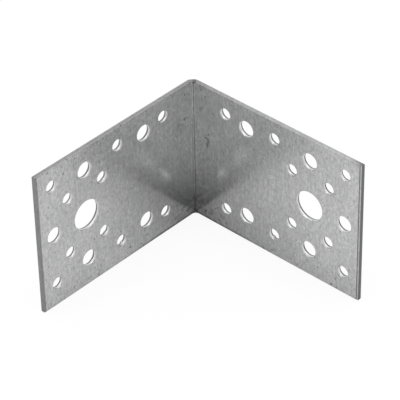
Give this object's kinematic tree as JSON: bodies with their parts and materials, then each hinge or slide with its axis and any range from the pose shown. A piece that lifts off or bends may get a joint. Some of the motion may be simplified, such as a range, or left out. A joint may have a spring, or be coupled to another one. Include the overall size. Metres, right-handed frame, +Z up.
{
  "type": "corner brace bracket",
  "caption": "Perforated corner brace folded from a galvanised steel sheet into equal legs at a right angle, with nail, screw and anchor bolt holes.",
  "frame": {"origin": "middle of the square that the two legs span, level with the lower edges that the bracket stands on", "axes": "+Z up along the fold; the fold is at -X -Y; one leg runs from it along +X with its outside face towards -Y, the other along +Y with its outside face towards -X"},
  "size_m": [0.088, 0.088, 0.065],
  "materials": {
    "galvanised_steel": "dull hot-dip zinc coating with faint rolling streaks, small dark specks and blurred reflections"
  },
  "bodies": {
    "root": {"bracket": "galvanised_steel"}
  },
  "joints": []
}
